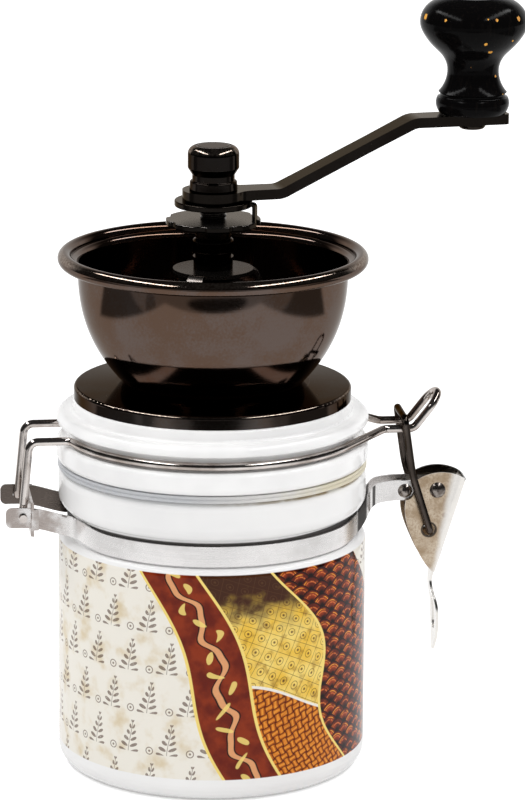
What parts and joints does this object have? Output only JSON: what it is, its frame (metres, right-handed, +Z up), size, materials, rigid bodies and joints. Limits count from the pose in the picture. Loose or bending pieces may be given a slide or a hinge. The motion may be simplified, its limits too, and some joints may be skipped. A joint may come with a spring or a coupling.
{
  "type": "manual coffee grinder",
  "caption": "Hand cranked coffee mill: open metal hopper bowl with conical burrs on a ceramic jar, closed by a wire bail and lever latch.",
  "frame": {"origin": "centre of the jar's base on the surface it stands on", "axes": "+Z up along the spindle, +X towards the latch lever, -X towards the lid hinge, -Y towards the front"},
  "size_m": [0.1641, 0.097, 0.2386],
  "materials": {
    "glazed_ceramic": null,
    "stainless_strap": "satin, lightly stained",
    "bright_wire": "polished wire",
    "lever_sheet": "satin with a warm brown tarnish",
    "rivet_steel": "polished heads",
    "seal": "soft translucent grey",
    "gunmetal": "black nickel plate, mirror-like",
    "burr_iron": "ground teeth, dull",
    "housing_plastic": "matte black",
    "spindle_steel": "satin",
    "spring_steel": "bright drawn wire",
    "black_wood": "glossy black lacquer, chipped to bare yellow wood"
  },
  "bodies": {
    "base": {"jar": "glazed_ceramic", "band_front": "stainless_strap", "band_rear": "stainless_strap", "hinge_tie": "stainless_strap", "spacer_rivet": "rivet_steel", "lever_rivet": "rivet_steel"},
    "lid": {"lid_ring": "glazed_ceramic", "gasket": "seal", "bail_wire": "bright_wire", "cover_plate": "gunmetal", "hopper_bowl": "gunmetal", "bearing_bridge": "gunmetal", "upper_bush": "gunmetal", "burr_housing": "housing_plastic", "clamp_ring": "housing_plastic", "outer_burr": "burr_iron", "lower_bracket": "housing_plastic", "housing_screws": "rivet_steel"},
    "crank": {"spindle": "spindle_steel", "inner_burr": "burr_iron", "burr_nut": "spindle_steel", "spring": "spring_steel", "spring_seat": "spindle_steel", "spring_pin": "spindle_steel", "adjusting_nut": "gunmetal", "stopper": "gunmetal", "crank_arm": "gunmetal", "cap_nut": "gunmetal", "knob_pin": "rivet_steel"},
    "knob": {"knob": "black_wood"},
    "lever": {"latch_lever": "lever_sheet"},
    "link": {"latch_link": "bright_wire"}
  },
  "joints": [
    {"name": "lid_open", "type": "hinge", "parent": "base", "child": "lid", "pos_m": [-0.06, 0, 0.0827], "axis": [0, -1, 0], "range_deg": [0, 105]},
    {"name": "crank_turn", "type": "hinge", "parent": "lid", "child": "crank", "pos_m": [0, 0, 0.15], "axis": [0, 0, 1], "continuous": true},
    {"name": "knob_spin", "type": "hinge", "parent": "crank", "child": "knob", "pos_m": [0.08209, 0.01227, 0.215], "axis": [0, 0, 1], "continuous": true},
    {"name": "lever_swing", "type": "hinge", "parent": "base", "child": "lever", "pos_m": [0.0703, 0, 0.0858], "axis": [0, -1, 0], "range_deg": [0, 120]},
    {"name": "link_swing", "type": "hinge", "parent": "lever", "child": "link", "pos_m": [0.06774, 0, 0.07306], "axis": [0, -1, 0], "range_deg": [-88, 0]}
  ],
  "couplings": [
    {"joint": "link_swing", "follows": "lever_swing", "ratio": -0.733}
  ]
}
